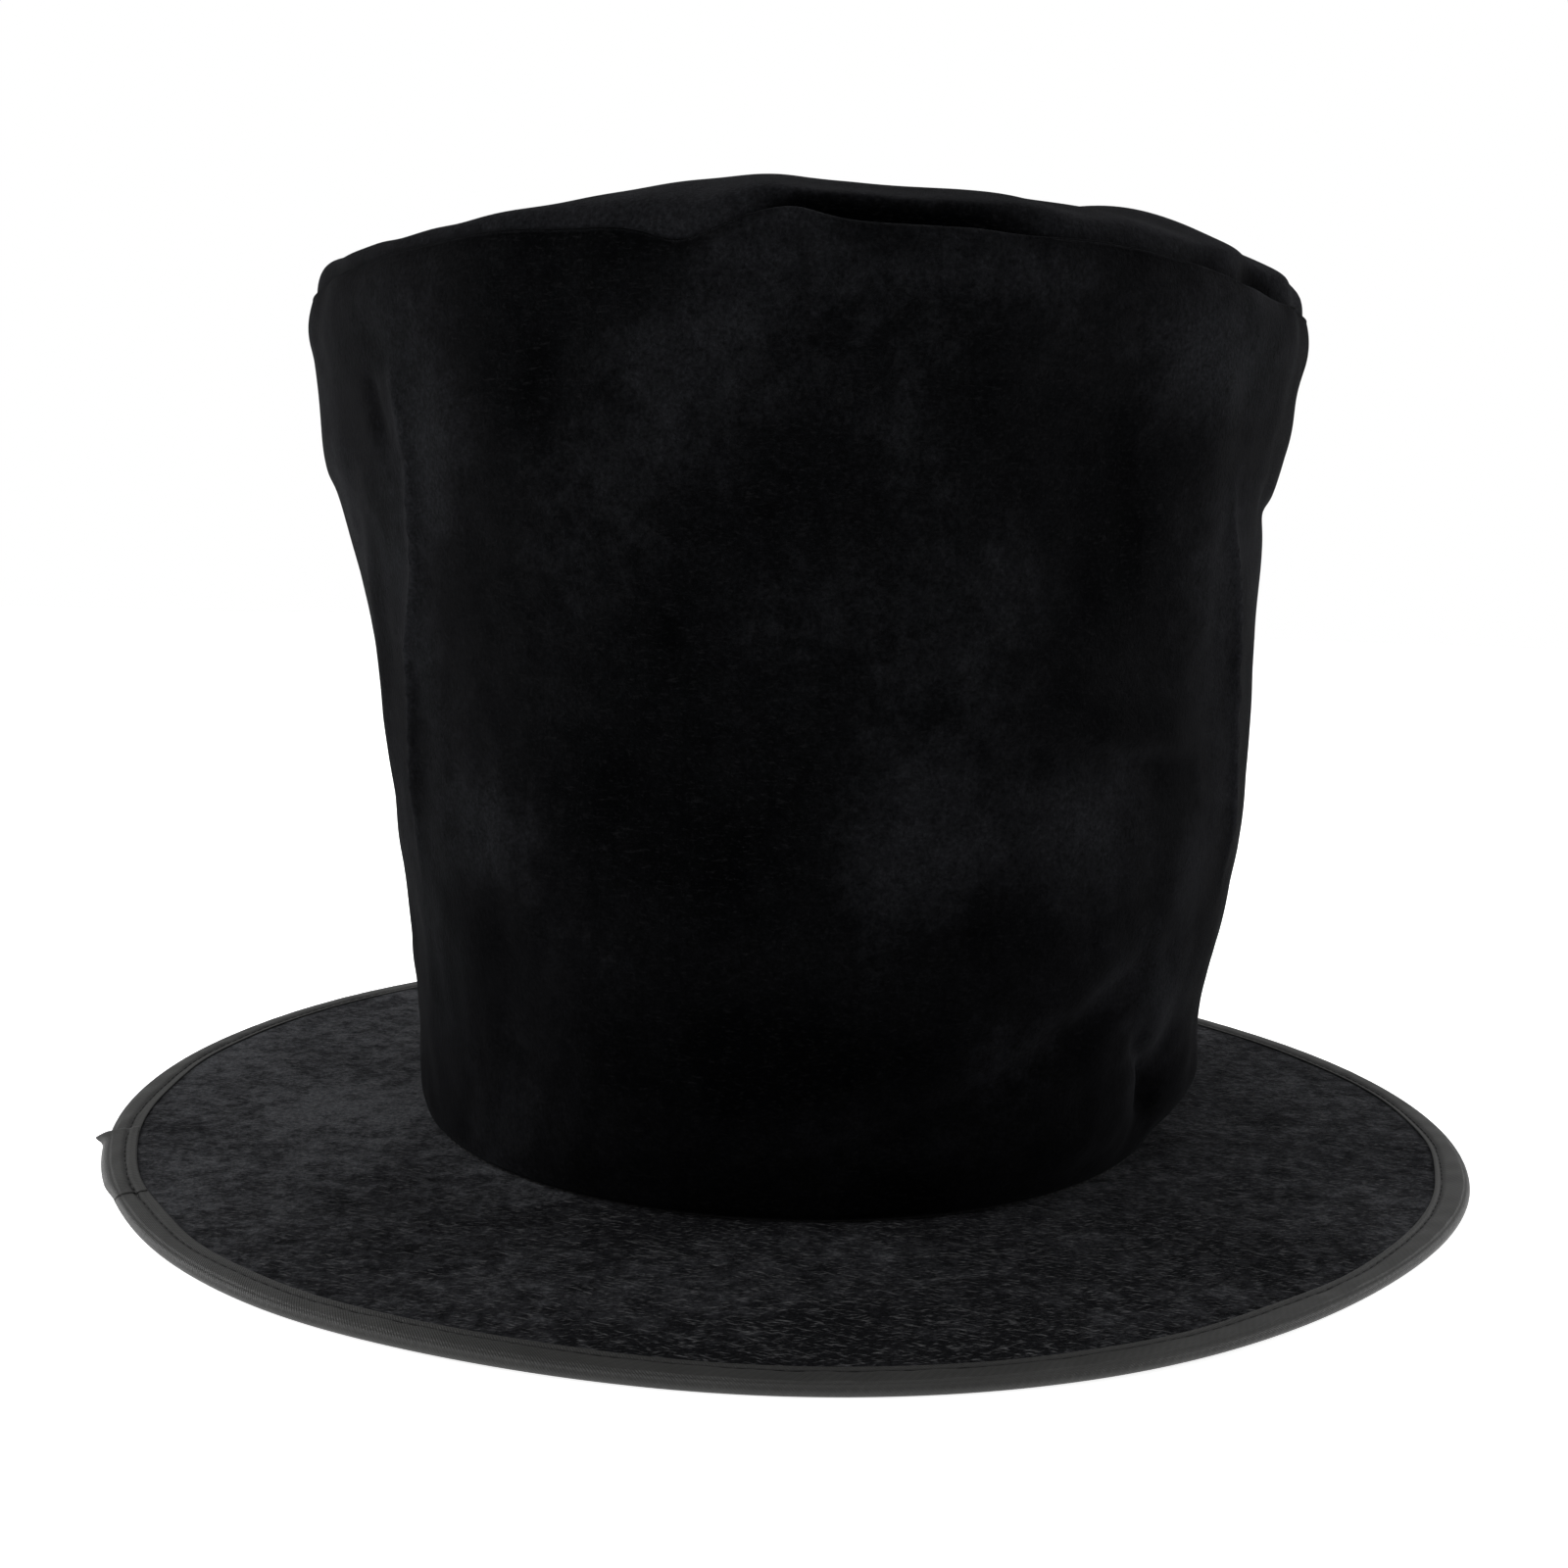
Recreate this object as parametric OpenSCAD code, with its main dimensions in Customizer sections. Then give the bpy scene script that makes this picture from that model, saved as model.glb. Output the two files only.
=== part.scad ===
// A costume top hat: a flared velour crown with a puffed tip, on a flat bound brim.
// +Z is up. The origin is on the crown's axis, in the plane that the brim stands on.
// -Y is the front, and the panel's seam and the care label are at the back, at +Y.

/* [Head opening] */
// Head circumference that the sweatband fits
head_circumference = 570; // [540:5:600]
// Height of the sweatband above the brim's underside
sweatband_h = 32; // [25:1:40]
// Thickness of the sweatband
sweatband_t = 1; // [0.8:0.1:1.5]

/* [Brim] */
// Diameter of the brim over its binding
brim_d = 344; // [310:2:380]
// Width of the binding tape's flaps, seen from above
binding_w = 7; // [6:0.5:12]
// Thickness of the binding tape
binding_t = 0.25; // [0.2:0.05:0.35]
// Thickness of the brim's top velour
brim_velour_t = 0.6; // [0.5:0.1:1]
// Thickness of the brim's stiffening board
board_t = 0.8; // [0.7:0.1:1.5]
// Thickness of the brim's plain under-cover
under_cover_t = 0.3; // [0.3:0.1:0.6]
// Diameter of the wire in the brim's edge
wire_d = 1; // [0.8:0.1:1.2]

/* [Crown] */
// Height of the tip seam above the plane that the brim stands on
crown_h = 206; // [150:2:230]
// Diameter of the crown at the tip seam
crown_top_d = 252; // [230:2:270]
// Rise of the puffed tip above its seam
tip_puff = 15; // [10:1:25]
// Thickness of the crown's velour
crown_velour_t = 0.9; // [0.7:0.1:1.2]
// Thickness of the foam behind the velour
foam_t = 2.5; // [2:0.5:4]
// Thickness of the lining
lining_t = 0.4; // [0.3:0.1:0.6]

/* [Stitching] */
// Diameter of the sewing thread
thread_d = 0.3; // [0.25:0.05:0.35]
// Distance from one stitch to the next
stitch_pitch = 6; // [5:0.5:10]
// Length of each stitch
stitch_l = 4.6; // [3:0.1:4.8]

/* [Hidden] */

// Layers lie this far apart
gap = 0.05;
// A sewn seam leaves this much room for its thread
seam_gap = 0.4;

head_r = head_circumference / (2 * PI);
brim_r = brim_d / 2;
top_r = crown_top_d / 2;

// The crown's layers, as distances in from its outer face
foam_in = crown_velour_t + gap;
lining_in = foam_in + foam_t + gap;
crown_wall = lining_in + lining_t;
opening_r = head_r + sweatband_t + gap;
base_r = opening_r + crown_wall;

// The brim's layers, as heights
under_z = binding_t + gap;
board_z = under_z + under_cover_t + gap;
velour_z = board_z + board_t + gap;
brim_top = velour_z + brim_velour_t;
edge_t = brim_top + gap + binding_t;
edge_r = brim_r - edge_t / 2;
sleeve_d = wire_d + 0.6;
layers_r = edge_r - sleeve_d / 2 - 0.1;

// The tape's ends lap at the left side of the brim, a little in front of its widest point
lap_start = 197;
lap_angle = 15;
tail_l = 3;

wall_steps = 16;
tip_steps = 14;
tip_square = 2.6;
flare_swell = 0.075;
$fn = 96;

// The crown's outer radius at height z: nearly a straight flare, a little full at its foot.
function side_r(z) =
    let (s = (z - brim_top) / (crown_h - brim_top))
    base_r + (top_r - base_r) * (s + flare_swell * sin(360 * s));

// The outline of a layer of the crown's wall, from inset a to inset b, between two heights.
function wall_outline(a, b, low, high) =
    let (zs = [for (i = [0:wall_steps]) low + (high - low) * i / wall_steps])
    concat([for (z = zs) [side_r(z) - a, z]],
           [for (i = [wall_steps:-1:0]) [side_r(zs[i]) - b, zs[i]]]);

// A point of the tip's puffed outline at inset a, where t runs from 0 at the seam to 90 on the axis.
function tip_point(a, t) = [(top_r - a) * pow(max(cos(t), 0), 2 / tip_square),
                            crown_h + (tip_puff - a) * pow(sin(t), 2 / tip_square)];

// The outline of a layer of the tip, from inset a to inset b.
function tip_outline(a, b) =
    let (ts = [for (i = [0:tip_steps]) 90 * i / tip_steps])
    concat([for (t = ts) tip_point(a, t)],
           [for (i = [tip_steps:-1:0]) tip_point(b, ts[i])]);

// A half-round edge of radius r about (edge_r, edge_t / 2), from below to above.
function round_edge(r) = [for (t = [-90:15:90]) [edge_r + r * cos(t), edge_t / 2 + r * sin(t)]];

module wall_layer(a, b, low, high) {
    rotate_extrude() polygon(wall_outline(a, b, low, high));
}

module tip_layer(a, b) {
    rotate_extrude() polygon(tip_outline(a, b));
}

module flat_ring(inner, outer, z, t) {
    rotate_extrude() translate([inner, z]) square([outer - inner, t]);
}

// A narrow cut at the back, between two heights, where a strip's ends meet.
module back_slit(w, low, high) {
    translate([-w / 2, head_r / 2, low]) cube([w, brim_r, high - low]);
}

// One stitch, lying along the circle of radius r at height z and angle a.
module stitch(r, z, a) {
    rotate([0, 0, a]) translate([r, -stitch_l / 2, z])
        rotate([-90, 0, 0]) cylinder(d = thread_d, h = stitch_l, $fn = 16);
}

// A ring of stitches.
module stitch_ring(r, z) {
    n = floor(2 * PI * r / stitch_pitch);
    for (i = [0:n - 1]) stitch(r, z, (i + 0.5) * 360 / n);
}

module crown_side_velour() {
    color("#101114") difference() {
        wall_layer(0, crown_velour_t, brim_top + seam_gap, crown_h - seam_gap);
        back_slit(0.5, 0, crown_h);
    }
}

module crown_side_foam() {
    color("#2b2b2d") wall_layer(foam_in, foam_in + foam_t, brim_top + gap, crown_h - gap);
}

module crown_side_lining() {
    color("#1b1b1e") wall_layer(lining_in, crown_wall, brim_top + gap, crown_h - gap);
}

module crown_tip_velour() {
    color("#101114") tip_layer(0, crown_velour_t);
}

module crown_tip_foam() {
    color("#2b2b2d") tip_layer(foam_in, foam_in + foam_t);
}

module crown_tip_lining() {
    color("#1b1b1e") tip_layer(lining_in, crown_wall);
}

module tip_seam_stitches() {
    color("#18181a") stitch_ring(top_r - crown_velour_t / 2, crown_h - seam_gap / 2);
}

module crown_base_stitches() {
    color("#18181a") stitch_ring(base_r - crown_velour_t / 2, brim_top + seam_gap / 2);
}

module back_seam_stitches() {
    low = brim_top + seam_gap + 1;
    rows = floor((crown_h - low - stitch_pitch) / stitch_pitch);
    color("#18181a") for (i = [0:rows]) {
        z = low + i * stitch_pitch;
        lean = atan((side_r(z + stitch_l) - side_r(z)) / stitch_l);
        translate([0, side_r(z) - crown_velour_t / 2, z]) rotate([-lean, 0, 0])
            cylinder(d = thread_d, h = stitch_l, $fn = 16);
    }
}

module brim_top_velour() {
    color("#1c1d20") flat_ring(opening_r, layers_r, velour_z, brim_velour_t);
}

module brim_board() {
    color("#3a3a3a") flat_ring(opening_r, layers_r, board_z, board_t);
}

module brim_under_cover() {
    color("#222224") flat_ring(opening_r, layers_r, under_z, under_cover_t);
}

// The tape, folded over the brim's edge, with its lapped end and the end's pointed tail.
module brim_binding() {
    flap_r = brim_r - binding_w;
    outer = edge_t / 2;
    inner = outer - binding_t;
    tail_t = 2 * binding_t;
    tail_r = brim_r - binding_t / 2;
    color("#4d4d4d") union() {
        rotate_extrude() polygon(concat(
            [[flap_r, 0]], round_edge(outer), [[flap_r, edge_t]],
            [[flap_r, edge_t - binding_t]],
            [for (i = [12:-1:0]) round_edge(inner)[i]],
            [[flap_r, binding_t]]));
        rotate([0, 0, lap_start]) rotate_extrude(angle = lap_angle)
            translate([flap_r + 0.3, edge_t - binding_t / 2])
            square([edge_r - flap_r - 0.8, binding_t * 1.5]);
        rotate([0, 0, lap_start]) translate([0, 0, edge_t / 2 - tail_t / 2])
            linear_extrude(tail_t) polygon([[tail_r, -2], [brim_r + tail_l, 0.5], [tail_r, 2]]);
    }
}

module binding_stitches() {
    r = brim_r - binding_w + 1.5;
    n = floor(2 * PI * r / stitch_pitch);
    step = 360 / n;
    color("#18181a") for (i = [0:n - 1]) {
        a = (i + 0.5) * step;
        on_lap = a > lap_start - step && a < lap_start + lap_angle + step;
        stitch(r, edge_t + thread_d / 2 + 0.02 + (on_lap ? binding_t : 0), a);
    }
}

module brim_edge_wire() {
    join = 1.2;
    color("#8a8d90") rotate([0, 0, 90 + join / 2]) rotate_extrude(angle = 360 - join)
        translate([edge_r, edge_t / 2]) circle(d = wire_d, $fn = 32);
}

// The crimp over the wire's two ends.
module wire_sleeve() {
    span = 4;
    color("#9a9c9e") rotate([0, 0, 90 - span / 2]) rotate_extrude(angle = span)
        translate([edge_r, edge_t / 2]) difference() {
            circle(d = sleeve_d, $fn = 32);
            circle(d = wire_d + 0.1, $fn = 32);
        }
}

module sweatband() {
    groove_z = 3;
    color("#17171a") difference() {
        flat_ring(head_r, head_r + sweatband_t, under_z, sweatband_h - under_z);
        flat_ring(head_r - 1, head_r + 0.4, groove_z - 0.3, 0.6);
        back_slit(0.4, 0, sweatband_h + 1);
    }
}

module sweatband_stitches() {
    color("#18181a") stitch_ring(head_r + 0.24, 3);
}

// Plain, blank label, sewn down at both ends.
module care_label() {
    span = 24;
    color("#d8d6d0") rotate([0, 0, 90 - span / 2]) rotate_extrude(angle = span)
        polygon(wall_outline(crown_wall + gap, crown_wall + gap + 0.25, 44, 62));
}

module label_stitches() {
    color("#d8d6d0") for (side = [-1, 1]) for (z = [46, 52, 58])
        rotate([0, 0, 90 + side * 11]) translate([side_r(z) - crown_wall - 0.55, 0, z])
            rotate([0, atan((side_r(z + 2.5) - side_r(z)) / 2.5), 0])
            cylinder(d = thread_d, h = 2.5, $fn = 16);
}

crown_side_velour();
crown_side_foam();
crown_side_lining();
crown_tip_velour();
crown_tip_foam();
crown_tip_lining();
tip_seam_stitches();
back_seam_stitches();
crown_base_stitches();
brim_top_velour();
brim_board();
brim_under_cover();
brim_binding();
binding_stitches();
brim_edge_wire();
wire_sleeve();
sweatband();
sweatband_stitches();
care_label();
label_stitches();
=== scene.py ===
"""The looks of a soft velour top hat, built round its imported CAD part.

Angles are in degrees round the crown's axis: 0 at the front (-Y), 90 at +X and 180 at the back.
Heights and lengths are in metres, except in the lists of shapes and patches, which are in millimetres.
"""

import math

import bmesh
import bpy
import numpy as np
from mathutils import Matrix, Vector


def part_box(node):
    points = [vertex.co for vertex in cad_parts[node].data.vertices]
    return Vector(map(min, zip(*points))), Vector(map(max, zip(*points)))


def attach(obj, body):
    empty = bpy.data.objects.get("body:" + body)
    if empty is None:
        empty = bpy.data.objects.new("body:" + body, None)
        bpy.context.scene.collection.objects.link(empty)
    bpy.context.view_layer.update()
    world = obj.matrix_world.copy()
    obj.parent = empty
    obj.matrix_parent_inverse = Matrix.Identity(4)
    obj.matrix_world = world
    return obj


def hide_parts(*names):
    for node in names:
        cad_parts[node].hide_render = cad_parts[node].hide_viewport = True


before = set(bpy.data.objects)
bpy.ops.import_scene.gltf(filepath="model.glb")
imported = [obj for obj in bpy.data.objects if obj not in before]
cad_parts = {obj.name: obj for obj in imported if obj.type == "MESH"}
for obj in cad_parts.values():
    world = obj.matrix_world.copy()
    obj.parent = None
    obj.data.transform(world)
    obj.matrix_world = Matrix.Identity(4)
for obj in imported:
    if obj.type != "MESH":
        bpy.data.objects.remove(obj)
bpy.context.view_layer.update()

MM = 0.001


# -------------------------------- sizes, from the frame


def low_z(node):
    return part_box(node)[0][2]


def high_z(node):
    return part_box(node)[1][2]


def outer_radius(node):
    """Half the node's size from front to back: its radius, as it's round."""
    low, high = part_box(node)
    return (high[1] - low[1]) / 2


# The layers' thicknesses, and the gap between neighbours, as in the CAD model.
VELOUR_T = 0.9 * MM
LINING_T = 0.4 * MM
FOAM_T = 2.5 * MM
BINDING_T = 0.25 * MM
GAP = 0.05 * MM
THREAD_R = 0.15 * MM

TOP_R = outer_radius("crown_tip_velour")
FOAM_IN = TOP_R - outer_radius("crown_tip_foam")
LINING_IN = TOP_R - outer_radius("crown_tip_lining")
WALL_T = LINING_IN + LINING_T
BAND_R = outer_radius("sweatband")
BASE_R = BAND_R + GAP + WALL_T
SEAM_Z = low_z("crown_tip_velour")
PUFF = high_z("crown_tip_velour") - SEAM_Z
BRIM_TOP = high_z("brim_top_velour")
BRIM_R = outer_radius("brim_binding")
LAYERS_R = outer_radius("brim_top_velour")
# The wire lies half-way up the brim's edge.
EDGE_T = low_z("brim_edge_wire") + high_z("brim_edge_wire")
BINDING_W = 7 * MM

# How far the wall's outline swings to either side of a straight flare, as a share of the flare.
FLARE_SWELL = 0.075
# How square the puffed tip's outline is, where 2 is round.
TIP_SQUARE = 3.0
# How far the wall draws in under the tip seam, and over what height.
SHOULDER = 3.4 * MM
SHOULDER_H = 12 * MM
# The wall's radius a little below its middle, in millimetres, by which turns become lengths along the wall.
WALL_R = 1.12 * BASE_R / MM

# The tape's ends lap at the left side of the brim, a little in front of its widest point.
LAP_START = -73
LAP_ANGLE = 15

# -------------------------------- the crown's folds and dents

# How far the soft crown leans to the right: all the way up, and more round one height.
LEAN_ALL = -0.9 * MM
LEAN_LOW = 6.2 * MM
LEAN_Z = 68 * MM
LEAN_SPREAD = 60 * MM

# Broad dents and bulges in the wall: angle, height, how far out, spread around, spread up.
DENTS = (
    (74, 17, 6.0, 22, 13), (-75, 166, 2.0, 30, 15), (-75, 121, -1.2, 30, 16),
    (76, 161, -1.0, 16, 5), (74, 177, 1.4, 20, 9), (-70, 161, -0.7, 9, 5),
    (-14, 92, -2.6, 34, 20), (-12, 42, -2.4, 30, 14), (-38, 38, -2.0, 16, 16),
    (14, 104, 1.8, 34, 16), (30, 168, -1.8, 16, 30), (-4, 190, 1.6, 14, 16),
    (14, 188, 1.2, 16, 12), (38, 15, 2.6, 20, 7), (56, 27, -3.2, 8, 12),
    (-30, 150, 1.4, 30, 24), (60, 70, 1.6, 22, 22), (120, 120, -2.2, 40, 26),
    (150, 60, 2.0, 40, 20), (-128, 90, -2.4, 36, 30), (-110, 165, 1.6, 34, 18),
    (-155, 150, -1.6, 30, 22), (172, 100, 1.2, 24, 34),
)

# Folds in the wall: kind, how far out, width, and the path's angles and heights.
FOLDS = (
    ("pressed", 2.4, 2.4, ((-46, 176), (-47, 158), (-49, 138), (-54, 121), (-56, 103), (-58, 84), (-60, 60))),
    ("pressed", 2.2, 2.2, ((51, 170), (58, 133), (60, 100), (59, 66))),
    ("pressed", 1.2, 1.8, ((-47, 184), (-47, 163))),
    ("valley", -1.2, 3.0, ((-52, 184), (-51, 166))),
    ("valley", -1.9, 3.8, ((-4, 150), (0, 136), (5, 121), (8, 112))),
    ("step", 2.0, 5.0, ((52, 103), (30, 107), (9, 109))),
    ("valley", -2.4, 5.5, ((-2, 10), (10, 20), (24, 32), (38, 50), (47, 60))),
    ("valley", -2.6, 3.6, ((44, 42), (52, 30), (60, 12))),
    ("roll", 1.2, 5.0, ((-62, 150), (-66, 120), (-68, 80))),
    ("step", 0.5, 5.0, ((-58, 162), (-70, 159), (-84, 163))),
    ("step", 0.7, 4.0, ((84, 163), (72, 161), (60, 166))),
    ("valley", -1.0, 4.0, ((-30, 112), (-18, 98), (-6, 96))),
    ("valley", -1.1, 6.0, ((33, 198), (33, 170), (36, 140))),
    ("roll", 0.9, 6.0, ((45, 196), (47, 165), (48, 140))),
    ("valley", -1.0, 5.0, ((-22, 196), (-25, 172), (-22, 150))),
    ("pressed", 1.2, 2.4, ((128, 188), (125, 140), (124, 80), (127, 40))),
    ("pressed", 1.2, 2.4, ((-125, 190), (-128, 140), (-126, 70))),
    ("valley", -1.6, 5.0, ((150, 60), (128, 42), (105, 36))),
    ("step", 1.2, 6.0, ((-100, 118), (-125, 122), (-150, 112))),
    ("valley", -1.5, 5.0, ((-90, 46), (-112, 34), (-136, 40))),
    ("valley", -1.2, 5.0, ((92, 148), (110, 158), (135, 150))),
)

# The wall's unevenness: the size of its lumps, how far out, and the seed of its waves.
LUMPS = ((60, 0.8, 3), (20, 0.28, 5), (8, 0.1, 8))

# How the tip seam rises and falls round the crown: angle, rise, spread.
SEAM_RISES = (
    (-3, 2.6, 4.5), (-12, -2.6, 3.5), (30, 1.6, 9), (54, -2.4, 9), (-56, -1.0, 10), (-30, 0.8, 8),
    (-74, -2.6, 16), (78, -1.0, 12), (110, -1.5, 14), (160, 1.2, 12), (-110, -1.8, 12), (-150, 1.0, 12),
)

# Where the tip seam gapes: angle, how wide, spread.
GAPES = ((8, 4.2, 9), (1, 1.4, 4), (53, 2.6, 5), (42, 1.0, 4), (-60, 0.7, 6), (140, 1.4, 8), (-135, 1.2, 7))
# The gape at which the seam's lip is softest and its inside darkest.
FULL_GAPE = 3 * MM
# The radius of the panel's turned edge where the seam is shut, and what the full gape adds.
LIP_TIGHT = 0.4 * MM
LIP_SOFT = 1.1 * MM

# Broad swells of the puffed tip: angle, distance from the axis, rise, spread.
TIP_SWELLS = (
    (48, 92, 7.0, 24), (68, 102, 3.6, 18), (-58, 96, -5.6, 26), (-43, 112, -6.0, 26), (-12, 96, 3.4, 22),
    (20, 96, 3.2, 22), (-3, 98, 1.8, 20), (-150, 60, 1.6, 40), (120, 70, -1.4, 34), (0, 0, -2.6, 55),
)

# Patches painted darker and lighter into the pile's colour, partly its own patchy tone and partly painted
# shade in the dents and creases and painted highlight on lit edges such as the tip seam's lip: angle, height,
# how light, spread around, spread up.
PILE_AND_SHADING_PATCHES = (
    (8, 199, 1.0, 22, 5), (-16, 196, -0.6, 14, 10), (34, 192, -0.6, 10, 10), (-42, 179, 0.8, 10, 26),
    (-3, 166, 0.5, 24, 10), (46, 188, 0.9, 16, 16), (72, 166, 0.7, 26, 34), (19, 84, 0.8, 34, 15),
    (-42, 83, 0.9, 12, 13), (-51, 112, 0.5, 8, 24), (38, 52, 1.0, 8, 8), (52, 29, 1.2, 12, 12),
    (50, 80, 0.7, 8, 12), (55, 128, 0.6, 8, 24), (72, 60, 0.6, 18, 40), (18, 57, 0.4, 28, 12),
    (-28, 54, 0.5, 12, 12), (7, 141, 0.5, 20, 14), (-15, 186, 0.4, 16, 10), (-66, 120, 0.4, 14, 50),
    (-62, 196, 0.7, 30, 8), (-20, 84, -1.9, 24, 18), (0, 38, -1.9, 34, 13), (22, 40, 0.6, 10, 10),
    (-44, 60, -1.3, 14, 11), (-15, 127, -0.9, 16, 14), (33, 163, -0.9, 8, 18), (12, 114, -0.9, 10, 6),
    (36, 112, -0.9, 20, 6), (35, 141, -0.6, 14, 14), (37, 37, -1.0, 8, 7), (28, 24, -0.6, 14, 8),
    (-33, 180, -0.4, 12, 14), (15, 176, -0.6, 16, 10), (0, 8, -0.6, 90, 8),
)


def spread(distance, width):
    """A smooth hump: 1 at no distance, and nearly 0 at twice the width."""
    return np.exp(-((distance / width) ** 2))


def smooth(x):
    """An even start and stop between 0 and 1."""
    x = np.clip(x, 0, 1)
    return x * x * (3 - 2 * x)


def turn_from(angle, middle):
    """How many degrees an angle is from the middle, the short way round."""
    return (angle - middle + 180) % 360 - 180


def crumple(angle, height, size, seed, waves=18):
    """Smooth unevenness, mostly from -1 to 1, in lumps of about a size. It meets itself round the crown."""
    rng = np.random.default_rng(seed)
    total = 0
    for _ in range(waves):
        slant = rng.uniform(0, 2 * math.pi)
        pace = math.pi * rng.uniform(0.7, 1.5) / size
        around = round(TOP_R * pace * math.cos(slant))
        total = total + np.sin(
            around * np.radians(angle) + pace * math.sin(slant) * height + rng.uniform(0, 2 * math.pi)
        )
    return total / math.sqrt(waves)


def from_path(angle, height, path):
    """How far each point of the wall is from a path, in millimetres, and how far along it as a share.

    The distance is negative on the path's left.
    """
    nearest = np.full(np.broadcast(angle, height).shape, 1e9)
    side = np.ones_like(nearest)
    share = np.zeros_like(nearest)
    for i, ((a0, z0), (a1, z1)) in enumerate(zip(path, path[1:])):
        x = np.radians(turn_from(angle, a0)) * WALL_R
        z = height / MM - z0
        dx = math.radians(a1 - a0) * WALL_R
        dz = z1 - z0
        t = np.clip((x * dx + z * dz) / (dx * dx + dz * dz), 0, 1)
        d = np.hypot(x - t * dx, z - t * dz)
        closer = d < nearest
        nearest = np.where(closer, d, nearest)
        side = np.where(closer, np.sign(x * dz - z * dx), side)
        share = np.where(closer, (i + t) / (len(path) - 1), share)
    return nearest * side, share


def fold(angle, height, kind, out, width, path):
    """One fold's share of how far the wall stands out, in millimetres."""
    d, share = from_path(angle, height, path)
    fade = smooth(share / 0.25) * smooth((1 - share) / 0.25)
    if kind == "pressed":
        return out * np.exp(-np.abs(d) / width) * fade
    if kind == "step":
        return out * np.tanh(d / (0.4 * width)) * spread(d, 2.2 * width) * fade
    return out * spread(d, width) * (0.25 + 0.75 * fade)


def patches(angle, height, rows):
    """The sum of a list's patches at each point of the wall."""
    total = 0
    for a, z, amount, wide, tall in rows:
        x = np.radians(turn_from(angle, a)) * WALL_R
        total = total + amount * spread(x, wide) * spread(height / MM - z, tall)
    return total


def stand_out(angle, height):
    """How far the wall stands out from the CAD model's plain one."""
    out = patches(angle, height, DENTS)
    for kind, amount, width, path in FOLDS:
        out = out + fold(angle, height, kind, amount, width, path)
    for size, amount, seed in LUMPS:
        out = out + amount * crumple(angle, height, size * MM, seed)
    pucker = spread(SEAM_Z - height, 12 * MM) + 0.6 * spread(height - BRIM_TOP, 9 * MM)
    out = out + 0.35 * pucker * crumple(angle, 0 * height, 9 * MM, 11)
    seam = spread(turn_from(angle, 180), 0.8)
    foot = 1 - spread(height - BRIM_TOP, 5 * MM)
    return MM * (out * foot - 0.9 * seam)


def plain_radius(height):
    """The crown's outer radius at a height: the CAD model's, with a soft shoulder under the tip seam."""
    s = (height - BRIM_TOP) / (SEAM_Z - BRIM_TOP)
    over = np.clip((height - SEAM_Z + SHOULDER_H) / SHOULDER_H, 0, 1)
    return BASE_R + (TOP_R - BASE_R) * (s + FLARE_SWELL * np.sin(2 * math.pi * s)) - SHOULDER * over ** 2


def lean(height):
    """How far to the right the crown stands at a height. Its foot stays where it's sewn."""
    foot = 1 - spread(height - BRIM_TOP, 14 * MM)
    return foot * (LEAN_ALL + LEAN_LOW * spread(height - LEAN_Z, LEAN_SPREAD))


def seam_rise(angle):
    return MM * sum(rise * spread(turn_from(angle, a), wide) for a, rise, wide in SEAM_RISES)


def gape(angle):
    return MM * sum(wide * spread(turn_from(angle, a), s) for a, wide, s in GAPES)


def lip_size(angle):
    """The radius of the panel's turned edge: tight, and softer where the seam gapes."""
    return LIP_TIGHT + LIP_SOFT * smooth(gape(angle) / FULL_GAPE)


def round_points(angle, radius, height):
    """Points at an angle, a distance from the hat's axis and a height."""
    a, radius, height = np.broadcast_arrays(np.radians(angle), radius, height)
    return np.stack([radius * np.sin(a), -radius * np.cos(a), height], axis=-1)


def all_round(steps):
    """Angles evenly spaced all the way round."""
    return np.linspace(-180, 180, steps, endpoint=False)[:, None]


def wall(angle, height, inset=0.0):
    """Points of the crown's wall, as far in from its outer face as the inset."""
    points = round_points(angle, plain_radius(height) + stand_out(angle, height) - inset, height)
    points[..., 0] += lean(points[..., 2])
    # The layers go no further in than the sweatband.
    reach = np.hypot(points[..., 0], points[..., 1])
    least = BASE_R - inset
    push = np.maximum(least / reach, 1)
    points[..., :2] *= push[..., None]
    top = smooth((height - SEAM_Z + 28 * MM) / (28 * MM))
    points[..., 2] += top * seam_rise(angle)
    return points


# -------------------------------- meshes

# Points closer than this are one point.
SAME_PLACE = 1e-7
# How thick a thread's ends are, as a share of the rest.
TAPER = 0.55


def on_cloth(along, across):
    """Places on the flat cloth."""
    along, across = np.broadcast_arrays(along, across)
    return np.stack([along, across, 0 * along], axis=-1)


def flat_cloth(grid):
    """Places on a cloth that lies flat as it's cut: the points seen from above."""
    return grid * np.array([1, 1, 0])


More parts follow.
